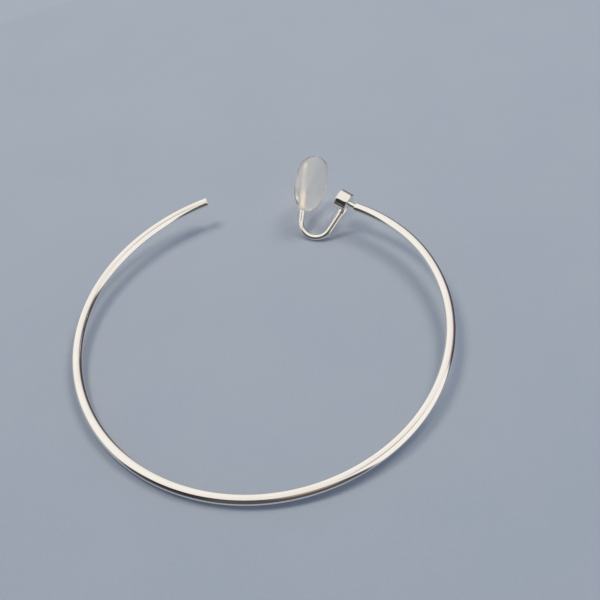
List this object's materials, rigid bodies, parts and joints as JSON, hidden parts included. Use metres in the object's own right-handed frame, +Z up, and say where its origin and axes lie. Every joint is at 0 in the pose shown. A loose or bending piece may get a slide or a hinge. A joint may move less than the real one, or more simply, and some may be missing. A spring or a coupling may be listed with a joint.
{
  "type": "clip-on hoop earring",
  "caption": "Large open hoop of polished round wire with a clip for an unpierced ear: a short barrel, a springy U of thin wire and a soft silicone cushion.",
  "frame": {"origin": "on the surface it lies on, under the middle of the whole part's bounding box", "axes": "+Z up from the surface, nearly square to the hoop's plane; +Y from the middle of the hoop to its clip; +X from the cushion to the barrel"},
  "size_m": [0.06, 0.0624, 0.0111],
  "materials": {
    "hoop_silver": "mirror polish",
    "barrel_silver": "mirror polish",
    "spring_silver": "bright drawn wire",
    "silicone": "translucent satin"
  },
  "bodies": {
    "root": {"hoop": "hoop_silver", "clip_barrel": "barrel_silver", "spring_wire": "spring_silver", "cushion": "silicone"}
  },
  "joints": []
}
